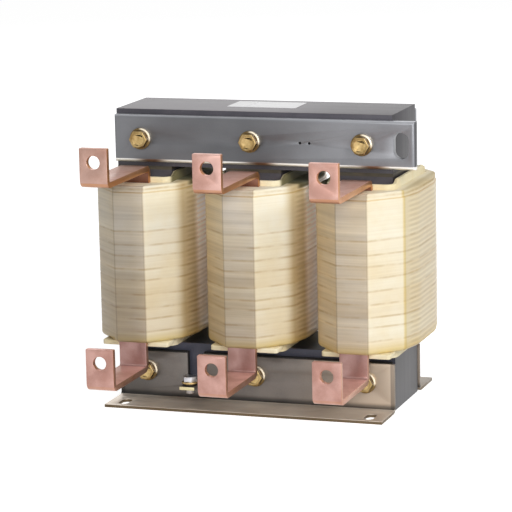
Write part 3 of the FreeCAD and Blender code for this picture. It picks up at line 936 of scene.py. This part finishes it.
TAPE = VarnishedTape(
    "varnished tape", 0.5, dark=shade(243, 231, 200), light=shade(248, 241, 220), size=22.0,
    speck_size=500.0, speck_amount=0.12, relief=0.5, coat=0.35, lap=tone(0.62, 0.48, 0.27),
    left_end=tone(0.77, 0.77, 0.78), zones=(
        # In the upper yoke's shade.
        Zone(tone(0.22, 0.23, 0.17), ((Way.Z, 214, 216), (Way.DEPTH, 47, 38), SHORT_OF_RIGHT_END)),
        # Painted shade on the strip over the lead and on the facet beside it.
        Zone(tone(0.73, 0.7, 0.71), VarnishedTape.strip),
        Zone(tone(0.9, 0.81, 0.69), VarnishedTape.near),
        # Painted shade on the turned shoulder and painted light on the side behind it.
        Zone(tone(0.68, 0.59, 0.45), ((Way.Y, -66, -54), (Way.Y, -26, -38), (Way.ACROSS, 30, 40),
                                      SHORT_OF_RIGHT_SIDE)),
        Zone(tone(1.16, 1.15, 1.3), ((Way.Y, -40, -28), (Way.REACH, 40, 46), SHORT_OF_RIGHT_SIDE)),
        # The right coil's outer side and the fold in front of it.
        Zone(tone(0.8, 0.75, 0.63), ((Way.Y, -60, -56), (Way.X, 150, 155))),
        Zone(tone(0.95, 0.88, 0.62), ((Way.Y, -59.9, -58.3), (Way.Y, -55.1, -56.7), (Way.X, 150, 154))),
        # Painted shade on the left corner and along the edges over the lead; the collar's step is browner and
        # the lower rim golden.
        Zone(tone(0.84, 0.82, 0.8), ((Way.ACROSS, -41, -45), (Way.Y, -44, -54))),
        Zone(tone(0.8, 0.76, 0.72), ((Way.REACH, 14.2, 15.0), (Way.REACH, 16.4, 15.6), (Way.Y, -80, -84))),
        Zone(tone(0.86, 0.76, 0.6), ((Way.Z, 212.2, 212.9), (Way.Z, 214.2, 213.5))),
        Zone(tone(0.88, 0.8, 0.5), ((Way.Z, 78, 66),)),
    ))
LABEL = Mottled("blank label", 0.3, dark=shade(250, 249, 250), light=shade(254, 253, 254), size=30.0,
                relief=0.01)
STAGE = PaleStage("pale stage")


# Sub-assemblies


@dataclass
class Core:
    """The laminated core with its gap plates and the boards under the clamps."""

    edge: float = 0.5

    def dress(self, laminations: Material, gap_board: Material, black_board: Material) -> None:
        """Gives both yokes softened edges, and the legs, plates and strips their materials.

        Args:
            laminations: The yokes' and legs' material.
            gap_board: The gap plates' material.
            black_board: The strips' material.
        """
        for node in ("upper_yoke", "lower_yoke"):
            refine(node, "_laminated", self.edge, laminations, "core")
        for phase in Phase:
            paint_node("leg_" + phase.value, laminations)
        for row in Row:
            for phase in Phase:
                paint_node(f"{row.value}_gap_plate_{phase.value}", gap_board)
            for side in ("front", "rear"):
                paint_node(f"{row.value}_strip_{side}", black_board)


@dataclass
class Clamps:
    """The two upper clamp bars and the two foot brackets."""

    bar_edge: float = 0.4
    sheet_edge: float = 0.45

    def dress(self, paint: Material, zinc: Material) -> None:
        """Gives the bars and the feet softened edges and their coats."""
        for side in ("front", "rear"):
            refine("upper_clamp_bar_" + side, "_painted", self.bar_edge, paint, "bar_paint")
        for side in ("front", "rear"):
            refine("foot_bracket_" + side, "_plated", self.sheet_edge, zinc, "bracket_zinc")


@dataclass
class ThroughBolts:
    """The six bolts through the yokes, with their washers and nuts, in millimetres, degrees and shares."""

    across_flats: float = 16.0
    head_height: float = 6.4
    nut_height: float = 8.0
    turned_share: float = 0.47
    turned_angle: float = 28.0
    bright_share: float = 0.4
    bright_slope: float = -0.97
    flank_slope: float = -0.5
    rim_tone: float = 0.35
    dish_rim: float = 1.7
    dish_depth: float = 0.45
    hex_edge: float = 0.22
    shank: float = 10.0
    round_sides: int = 48
    bore_sides: int = 32
    shank_sides: int = 24
    thread_pitch: float = 1.5
    groove_count: int = 5
    groove_share: float = 0.86
    tip_share: float = 0.82
    end_reach: float = 4.0
    washer: float = 21.0
    washer_thickness: float = 2.0
    washer_play: float = 0.25
    washer_edge: float = 0.3
    foot_sheet: float = 3.0

    def seats(self) -> list[tuple[Row, float, float, float, float]]:
        """Finds where each bolt sits.

        Returns:
            Row, X, Z, the front washer's seat and the rear washer's seat of each bolt, in metres.
        """
        sheet = self.foot_sheet * MM
        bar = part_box("upper_clamp_bar_front")[0].y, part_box("upper_clamp_bar_rear")[1].y
        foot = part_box("foot_bracket_front")[1].y - sheet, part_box("foot_bracket_rear")[0].y + sheet
        found = []
        for row, (near, far) in ((Row.UPPER, bar), (Row.LOWER, foot)):
            low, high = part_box(row.value + "_clamp_bolts")
            found += [(row, step * LEG_PITCH * MM, (low.z + high.z) / 2, near, far) for step in (-1, 0, 1)]
        return found

    def flank_share(self, middle: Vector, normal: Vector) -> float:
        """Tells how much painted shade a face of a head or nut takes.

        Args:
            middle: The face's middle.
            normal: Its normal.

        Returns:
            1 for a flank, less for the turned rim and 0 for the outer face.
        """
        if middle.xz.length <= self.across_flats * self.bright_share * MM or normal.y <= self.bright_slope:
            return 0.0
        return 1.0 if normal.y > self.flank_slope else self.rim_tone

    def hex_master(self, name: str, height: float, dished: bool) -> Piece:
        """Models a hexagon along -Y from Y 0, with its outer corners turned off.

        Args:
            name: The new piece's name.
            height: Its height in millimetres.
            dished: True to sink a shallow dish into its outer face.

        Returns:
            The hexagon.
        """
        depth = height * MM
        piece = add_round(name, 6, self.across_flats / math.sqrt(3) * MM, Vector(), Vector((0, -depth, 0)))
        inner = self.across_flats * self.turned_share * MM
        outer = inner + depth / math.tan(math.radians(self.turned_angle))
        bpy.ops.mesh.primitive_cone_add(vertices=self.round_sides, radius1=outer, radius2=inner, depth=depth,
                                        location=(0, -depth / 2, 0), rotation=(math.pi / 2, 0, 0))
        carve(piece, settle("cone"), "INTERSECT")
        if dished:
            with editing(piece, Pick.FACES):
                pick(piece, Pick.FACES, lambda middle, normal: normal.y < -0.99 and middle.y < -depth * 0.9)
                bpy.ops.mesh.inset(thickness=self.dish_rim * MM)
                bpy.ops.transform.translate(value=(0, self.dish_depth * MM, 0))
        soften(piece, self.hex_edge, 2, 25)
        with editing(piece, Pick.FACES):
            mark_faces(piece, "hex_flank", self.flank_share)
        return piece

    def washer_master(self) -> Piece:
        """Models a washer along -Y from Y 0, with softened rims."""
        thick = self.washer_thickness * MM
        rim = self.washer / 2 * MM
        piece = add_round("washer_master", self.round_sides, rim, Vector(), Vector((0, -thick, 0)))
        bore = (self.shank / 2 + self.washer_play) * MM
        start, way = Vector((0, thick / 2, 0)), Vector((0, -2 * thick, 0))
        hole = add_round("washer_hole", self.bore_sides, bore, start, way)
        carve(piece, hole)
        soften(piece, self.washer_edge)
        return piece

    def shank_master(self, length: float) -> Piece:
        """Models a shank along +Y from Y 0, with a turned and grooved end.

        Args:
            length: Its length in metres.

        Returns:
            The shank.
        """
        radius = self.shank / 2 * MM
        piece = add_round("shank_master", self.shank_sides, radius, Vector(), Vector((0, length, 0)))
        levels = [length - (step + 1) * self.thread_pitch * MM / 2 for step in range(2 * self.groove_count)]
        with editing(piece, Pick.VERTS):
            for level in levels:
                slice_at(Vector((0, level, 0)), Vector((0, 1, 0)))
            narrow = [(level, self.groove_share) for level in levels[::2]] + [(length, self.tip_share)]
            for level, share in narrow:
                pick(piece, Pick.VERTS, lambda place: abs(place.y - level) < NEAR)
                bpy.ops.transform.resize(value=(share, 1, share), center_override=(0, level, 0))
        shade_by_angle(piece, 30)
        return piece

    def dress(self, zinc: Material, shadowed: Material) -> None:
        """Models one bolt of each kind and copies it to every seat.

        Args:
            zinc: The bolts' and nuts' material.
            shadowed: The washers' material.
        """
        head = self.hex_master("head_master", self.head_height, True)
        nut = self.hex_master("nut_master", self.nut_height, False)
        washer = self.washer_master()
        heads: dict[Row, list[Piece]] = {row: [] for row in Row}
        washers, nuts, turned = [], [], Matrix.Rotation(math.pi, 4, "Z")
        reach = self.washer_thickness * MM
        for row, x, z, near, far in self.seats():
            end = far + reach + (self.nut_height + self.end_reach) * MM
            shank = self.shank_master(end - near + reach)
            start = Matrix.Translation((x, near - reach, z))
            heads[row] += [copy_of(head, "head", start), copy_of(shank, "shank", start)]
            bpy.data.objects.remove(shank)
            washers += [copy_of(washer, "washer", Matrix.Translation((x, near, z))),
                        copy_of(washer, "washer", Matrix.Translation((x, far, z)) @ turned)]
            nuts.append(copy_of(nut, "nut", Matrix.Translation((x, far + reach, z)) @ turned))
        for master in (head, nut, washer):
            bpy.data.objects.remove(master)
        for row, parts in heads.items():
            bolts = joined(row.value + "_through_bolts", parts)
            dress(bolts, zinc, "yellow_zinc", row.value + "_clamp_bolts")
        dress(joined("bolt_washers", washers), shadowed, "yellow_zinc", "clamp_bolt_washers")
        dress(joined("bolt_nuts", nuts), zinc, "yellow_zinc", "clamp_bolt_nuts")


@dataclass
class EarthPoint:
    """The earth screw with its plain and its split washer, in millimetres."""

    edge: float = 0.3

    def dress(self, steel: Material, spring: Material, zinc: Material) -> None:
        """Gives the screw, the split washer and the plain washer softened edges and their plating."""
        for node, material, slot in (
            ("earth_screw", steel, "bright_steel"),
            ("earth_spring_washer", spring, "bright_steel"),
            ("earth_washer", zinc, "yellow_zinc"),
        ):
            refine(node, "_plated", self.edge, material, slot)


@dataclass
class TapedCoil:
    """One coil's tape, in millimetres from its leg's axis; the front lies towards -Y."""

    phase: Phase
    first_seed: int = 3
    side_flat: float = 30.0
    shoulder_x: float = 44.0
    shoulder_y: float = 58.0
    front_flat_half: float = 15.2
    back_flat_half: float = 18.0
    lead_corner: float = 1.2
    outer_corner: float = 5.5
    low_corner: float = 3.5
    lip_corner: float = 1.5
    wall: float = 2.2
    bore_x: float = 34.2
    bore_y: float = 60.9
    play: float = 0.2
    collar_height: float = 6.5
    collar_slope: float = 0.6
    collar_step: float = 0.8
    turn_count: int = 9
    turn_pitch: float = 12.22
    turn_play: float = 1.5
    lean_across: tuple[float, float] = (-0.012, 0.012)
    lean_back: tuple[float, float] = (-0.008, 0.014)
    band_drop: float = 3.0
    band_tone: float = 0.1
    lap_half: float = 0.3
    lap_play: float = 0.05
    lap_reach: float = 1.5
    lap_depth: float = 0.12
    lead_half: float = 14.2
    lead_thickness: float = 6.0

    def __post_init__(self) -> None:
        """Reads where the CAD tape lies."""
        self.low, self.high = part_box("coil_tape_" + self.phase.value)
        self.axis_x = (self.low.x + self.high.x) / 2
        self.seed = random.Random(list(Phase).index(self.phase) + self.first_seed)

    def outline_block(self, name: str, inset: float, bottom: float, top: float) -> Piece:
        """Models the coil's outline as a prism.

        Args:
            name: The new piece's name.
            inset: How far the prism stays inside the outline, in metres.
            bottom: Its lower level.
            top: Its upper level.

        Returns:
            The prism.
        """
        shrink = Vector((inset, inset, 0))
        low = Vector((self.low.x, self.low.y, bottom)) + shrink
        high = Vector((self.high.x, self.high.y, top)) - shrink
        piece = add_box(name, low, high)
        side_x = (self.high.x - self.axis_x) / MM
        quarter = [
            (self.front_flat_half, self.low.y / MM, self.shoulder_x, -self.shoulder_y),
            (self.shoulder_x, -self.shoulder_y, side_x, -self.side_flat),
            (side_x, self.side_flat, self.shoulder_x, self.shoulder_y),
            (self.shoulder_x, self.shoulder_y, self.back_flat_half, self.high.y / MM),
        ]
        with editing(piece, Pick.FACES):
            for x1, y1, x2, y2 in quarter:
                outward = Vector((y2 - y1, x1 - x2, 0)).normalized()
                for side in (1, -1):
                    normal = Vector((side * outward.x, outward.y, 0))
                    point = Vector((self.axis_x + side * x1 * MM, y1 * MM, bottom)) - normal * inset
                    slice_at(point, normal, True)
        return piece

    def round_outline(self, piece: Piece) -> None:
        """Rounds the coil's upright corners, small ones beside the lead and large ones elsewhere."""
        flat = (self.front_flat_half + 1) * MM

        def at_lead(first: Vector, second: Vector) -> bool:
            """Tells whether an edge stands beside the lead."""
            return is_upright(first, second) and abs(first.x - self.axis_x) < flat and first.y < 0

        def elsewhere(first: Vector, second: Vector) -> bool:
            """Tells whether an edge stands on another corner."""
            return is_upright(first, second) and (abs(first.x - self.axis_x) > flat or first.y > 0)

        with editing(piece, Pick.EDGES):
            round_edges(piece, self.lead_corner, 2, at_lead)
            round_edges(piece, self.outer_corner, 5, elsewhere)

    def round_ends(self, piece: Piece) -> None:
        """Rounds the lower end, steps in the collar and rounds its lip."""
        def at(level: float) -> Test:
            """Makes the test of an edge that lies at a level."""
            return lambda first, second: abs(first.z - level) < NEAR and abs(second.z - level) < NEAR

        with editing(piece, Pick.EDGES):
            round_edges(piece, self.low_corner, 4, at(self.low.z))
            round_edges(piece, self.lip_corner, 3, at(self.high.z))
        collar = self.high.z - self.collar_height * MM
        slope = self.collar_slope * MM
        size, middle = self.high - self.low, (self.high + self.low) / 2
        step = 2 * self.collar_step * MM
        with editing(piece, Pick.VERTS):
            slice_at(Vector((0, 0, collar)), Vector((0, 0, 1)))
            slice_at(Vector((0, 0, collar + slope)), Vector((0, 0, 1)))
            pick(piece, Pick.VERTS, lambda place: place.z > collar + slope / 2)
            bpy.ops.transform.resize(value=(1 - step / size.x, 1 - step / size.y, 1), center_override=middle)

    def hollow_out(self, piece: Piece) -> None:
        """Takes out the winding's room, the bore and the two lead pockets."""
        wall = self.wall * MM
        carve(piece, self.outline_block("winding_room", wall, self.low.z + wall, self.high.z - wall))
        play, lead = self.play, self.lead_thickness
        start_back = -(self.bore_y + play)
        finish_front = self.low.y / MM + self.wall + play
        under, over = self.low.z - 1 * MM, self.high.z + 1 * MM
        rooms = [
            (self.bore_x, -self.bore_y, self.bore_y, under, over),
            (self.lead_half, start_back - lead - play, start_back + play, self.high.z - 2 * wall, over),
            (self.lead_half, finish_front - play, finish_front + lead + play, under, self.low.z + 2 * wall),
        ]
        for half, front, back, bottom, top in rooms:
            low = Vector((self.axis_x - half * MM, front * MM, bottom))
            high = Vector((self.axis_x + half * MM, back * MM, top))
            carve(piece, add_box("room", low, high))

    def lap_planes(self) -> list[tuple[Vector, Vector]]:
        """Chooses each lap's plane: its height is uneven and it leans a little.

        Returns:
            A point and the normal of each plane, from the bottom up.
        """
        planes, draw = [], self.seed.uniform
        for turn in range(self.turn_count):
            uneven = draw(-self.turn_play, self.turn_play)
            height = self.low.z + (self.turn_pitch * (turn + 1) + uneven) * MM
            lean = Vector((draw(*self.lean_across), draw(*self.lean_back), 1)).normalized()
            planes.append((Vector((self.axis_x, 0, height)), lean))
        band = self.high.z - self.band_drop * MM
        return planes + [(Vector((self.axis_x, 0, band)), Vector((0, 0, 1)))]

    def wind(self, piece: Piece) -> None:
        """Presses in each lap and marks it, and gives each turn its tone."""
        planes = self.lap_planes()
        tones = [self.seed.random() for _ in range(self.turn_count)]
        half, reach = self.lap_half * MM, self.lap_reach * MM
        wide = half + self.lap_play * MM

        def beside(place: Vector, plane: tuple[Vector, Vector]) -> bool:
            """Tells whether a place is in a lap's groove."""
            return abs((place - plane[0]).dot(plane[1])) < wide

        def turn_tone(middle: Vector, normal: Vector) -> float:
            """Gives the tone of the turn that a face lies in."""
            below = sum(1 for point, up in planes if (middle - point).dot(up) > 0)
            return tones[below] if below < self.turn_count else self.band_tone

        with editing(piece, Pick.VERTS):
            for point, normal in planes:
                for offset in (-reach, -half, half, reach):
                    slice_at(point + normal * offset, normal)
            mesh = bmesh.from_edit_mesh(piece.data)
            lap = mesh.verts.layers.float.new("lap")
            for vert in mesh.verts:
                vert[lap] = float(any(beside(vert.co, plane) for plane in planes))
            bmesh.update_edit_mesh(piece.data)
            mark_faces(piece, "turn_tone", turn_tone)
            shrink = 1 - self.lap_depth * MM / (self.high.x - self.axis_x)
            for plane in planes:
                pick(piece, Pick.VERTS, lambda place: beside(place, plane))
                bpy.ops.transform.resize(value=(shrink, shrink, 1), center_override=plane[0])

    def dress(self, tape: Material) -> None:
        """Models the coil's tape and gives it its material."""
        piece = self.outline_block("taped_coil_" + self.phase.value, 0.0, self.low.z, self.high.z)
        self.round_outline(piece)
        self.round_ends(piece)
        self.hollow_out(piece)
        self.wind(piece)
        shade_by_angle(piece, 40)
        dress(piece, tape, "coil_tape", "coil_tape_" + self.phase.value)


@dataclass
class CoilCarriers:
    """The coils' formers, wedges, packing, boards and hidden windings, in millimetres."""

    edge: float = 0.4
    skirt_end: float = 57.2
    board_half: float = 34.0
    board_back: float = 61.0
    board_front: float = 79.8
    board_bottom: float = 60.4
    board_top: float = 64.9
    board_corner: float = 3.0

    def add_boards(self, phase: Phase, board: Material) -> None:
        """Models the two thin boards that carry a coil's lower end in front of its former and behind it.

        Args:
            phase: The coil that they carry.
            board: Their material.
        """
        low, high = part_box("coil_former_" + phase.value)
        middle = (low.x + high.x) / 2
        half, outer = self.board_half * MM, self.board_front * MM - NEAR
        parts = []
        for side in (-1, 1):
            front, back = sorted((side * self.board_back * MM, side * self.board_front * MM))
            part = add_box("board", Vector((middle - half, front, self.board_bottom * MM)),
                           Vector((middle + half, back, self.board_top * MM)))
            with editing(part, Pick.EDGES):
                round_edges(part, self.board_corner, 4, lambda a, b: is_upright(a, b) and abs(a.y) > outer)
            soften(part, self.edge)
            parts.append(part)
        dress(joined("support_boards_" + phase.value, parts), board, "pressboard")

    def dress(self, board: Material, foil: Material, tube: Material) -> None:
        """Gives the carriers softened edges and every hidden piece its material.

        Args:
            board: The formers', wedges', packing's and boards' material.
            foil: The windings' material.
            tube: The bolt sleeves' material.
        """
        for phase in Phase:
            former = "coil_former_" + phase.value
            piece = merged_copy(former, former + "_varnished")
            with editing(piece, Pick.FACES):
                slice_at(Vector((0, 0, self.skirt_end * MM)), Vector((0, 0, -1)), True)
            soften(piece, self.edge)
            dress(piece, board, "pressboard", former)
            refine("coil_packing_" + phase.value, "_varnished", self.edge, board, "pressboard")
            self.add_boards(phase, board)
            paint_node("leg_wedges_" + phase.value, board)
            paint_node("foil_winding_" + phase.value, foil)
        paint_node("clamp_bolt_sleeves", tube)


@dataclass
class CopperLeads:
    """The six bent copper leads with their bored tabs."""

    edge: float = 0.55
    side_share: float = 0.85
    under_share: float = 0.6

    def dress(self, copper: Material) -> None:
        """Gives each lead softened edges, its copper, and marks on its shear-cut sides, on its undersides for
        painted shade and on its level faces for painted light.

        Args:
            copper: The leads' material.
        """
        def sheared_and_shade(middle: Vector, normal: Vector) -> float:
            """Marks the sides and the hole's walls fully, and the undersides, which take painted shade, less.
            """
            return self.side_share if abs(normal.x) > 0.5 else self.under_share if normal.z < -0.35 else 0.0

        for row in Row:
            for phase in Phase:
                node = f"{row.value}_terminal_{phase.value}"
                piece = merged_copy(node, node + "_bar")
                soften(piece, self.edge, 2, 40)
                with editing(piece, Pick.FACES):
                    mark_faces(piece, "sheared_side_and_shade", sheared_and_shade)
                    mark_faces(piece, "level_top", lambda middle, normal: float(normal.z > 0.9))
                dress(piece, copper, "copper", node)


@dataclass
class BlankLabel:
    """The bare white label place on the upper yoke, in millimetres."""

    left: float = -36.0
    right: float = 34.0
    front: float = -11.5
    back: float = 28.3
    lift: float = 0.02
    thickness: float = 0.25
    corner: float = 2.0
    edge: float = 0.06

    def dress(self, paper: Material) -> None:
        """Models the label with rounded corners and leaves it bare."""
        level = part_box("upper_yoke")[1].z
        low = Vector((self.left * MM, self.front * MM, level + self.lift * MM))
        high = Vector((self.right * MM, self.back * MM, level + self.thickness * MM))
        piece = add_box("blank_label", low, high)
        with editing(piece, Pick.EDGES):
            round_edges(piece, self.corner, 5, is_upright)
        soften(piece, self.edge, 1)
        dress(piece, paper, "core")


def direction(azimuth: float, elevation: float) -> Vector:
    """Points from the reactor to a lamp or camera, by degrees right of the front and above the floor."""
    a, e = math.radians(azimuth), math.radians(elevation)
    return Vector((math.sin(a) * math.cos(e), -math.cos(a) * math.cos(e), math.sin(e)))


@dataclass(frozen=True)
class Lamp:
    """A square area lamp that looks at the reactor, in degrees, watts and metres."""

    name: str
    azimuth: float
    elevation: float
    power: float
    size: float


@dataclass
class Studio:
    """Pale floor, white surroundings and soft lamps, in metres."""

    floor_size: float = 12.0
    floor_level: float = -0.05 * MM
    ambient: float = 0.21
    aim_height: float = 0.14
    lamp_distance: float = 2.8
    lamps: tuple[Lamp, ...] = (
        Lamp("key_lamp", 52.0, 30.0, 42.5, 1.3),
        Lamp("fill_lamp", 18.0, 12.0, 16.0, 0.7),
        Lamp("back_lamp", 205.0, 40.0, 14.0, 2.0),
    )

    def lay_floor(self) -> None:
        """Lays the pale floor under the feet."""
        bpy.ops.object.select_all(action="DESELECT")
        bpy.ops.mesh.primitive_plane_add(size=self.floor_size, location=(0, 0, self.floor_level))
        floor = bpy.context.object
        floor.name = "studio_floor"
        floor.data.materials.append(STAGE.build())

    def light_world(self) -> None:
        """Makes the surroundings white for the camera and reflections, and plain for the rest."""
        world = bpy.data.worlds.new("studio_world")
        world.use_nodes = True
        bpy.context.scene.world = world
        recipe = Recipe(world.node_tree)
        rays, direct = recipe.direct_rays()
        seen = recipe.sum("MAXIMUM", direct, rays.outputs["Is Transmission Ray"])
        strength = recipe.add("MapRange", {"Value": seen, "To Min": self.ambient, "To Max": 1.0})
        sky = recipe.add("Background", {"Color": WHITE, "Strength": strength.outputs[0]})
        recipe.add("OutputWorld", {"Surface": sky.outputs[0]})

    def hang(self, lamp: Lamp) -> None:
        """Hangs one lamp."""
        data = bpy.data.lights.new(lamp.name, "AREA")
        data.energy, data.size = lamp.power, lamp.size
        hung = bpy.data.objects.new(lamp.name, data)
        back = direction(lamp.azimuth, lamp.elevation)
        hung.location = Vector((0, 0, self.aim_height)) + back * self.lamp_distance
        hung.rotation_euler = (-back).to_track_quat("-Z", "Y").to_euler()
        bpy.context.scene.collection.objects.link(hung)

    def build(self) -> None:
        """Builds the floor, the surroundings and the lamps."""
        self.lay_floor()
        self.light_world()
        for lamp in self.lamps:
            self.hang(lamp)


@dataclass
class PhotoCamera:
    """The camera at the photograph's viewing angle; the image is 512 pixels square."""

    azimuth: float = 18.96
    elevation: float = 10.917
    roll: float = -1.2
    distance: float = 2.5419
    focal_pixels: float = 2629.7
    image_pixels: float = 512.0
    sensor_width: float = 36.0
    clip: tuple[float, float] = (0.1, 50.0)
    target: Triple = (0.003341, -0.047, 0.148209)

    def build(self) -> None:
        """Places the camera and makes it the scene's."""
        data = bpy.data.cameras.new("photo_camera")
        data.sensor_width = self.sensor_width
        data.lens = self.focal_pixels / self.image_pixels * self.sensor_width
        data.clip_start, data.clip_end = self.clip
        camera = bpy.data.objects.new("photo_camera", data)
        back = direction(self.azimuth, self.elevation)
        camera.location = Vector(self.target) + back * self.distance
        aim = (-back).to_track_quat("-Z", "Y").to_matrix().to_4x4()
        camera.rotation_euler = (aim @ Matrix.Rotation(math.radians(self.roll), 4, "Z")).to_euler()
        bpy.context.scene.collection.objects.link(camera)
        bpy.context.scene.camera = camera
        bpy.context.scene.view_settings.view_transform = "Standard"


def main() -> None:
    """Builds the camera, the pieces and the studio in order."""
    logging.basicConfig(level=logging.INFO, format="%(name)s: %(message)s")
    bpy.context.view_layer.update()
    PhotoCamera().build()
    log.info("camera at the photograph's angle")
    groups = Groups(blotch_group(), stripe_group())
    made = {finish.name: finish.build(groups) for finish in (
        CORE, BAR, BRACKET, BOLT, WASHER, BRIGHT, SPRING, BLACK_BOARD, GAP_BOARD, PRESSBOARD, TUBE, FOIL,
        COPPER, TAPE, LABEL)}
    log.info("%d finishes", len(made))
    Core().dress(made[CORE.name], made[GAP_BOARD.name], made[BLACK_BOARD.name])
    log.info("core and boards")
    Clamps().dress(made[BAR.name], made[BRACKET.name])
    log.info("clamp bars and feet")
    ThroughBolts().dress(made[BOLT.name], made[WASHER.name])
    EarthPoint().dress(made[BRIGHT.name], made[SPRING.name], made[BOLT.name])
    log.info("bolts and earth screw")
    for phase in Phase:
        TapedCoil(phase).dress(made[TAPE.name])
        log.info("taped coil, %s", phase.value)
    CoilCarriers().dress(made[PRESSBOARD.name], made[FOIL.name], made[TUBE.name])
    CopperLeads().dress(made[COPPER.name])
    BlankLabel().dress(made[LABEL.name])
    log.info("formers, leads and label")
    Studio().build()


if __name__ == "__main__":
    main()
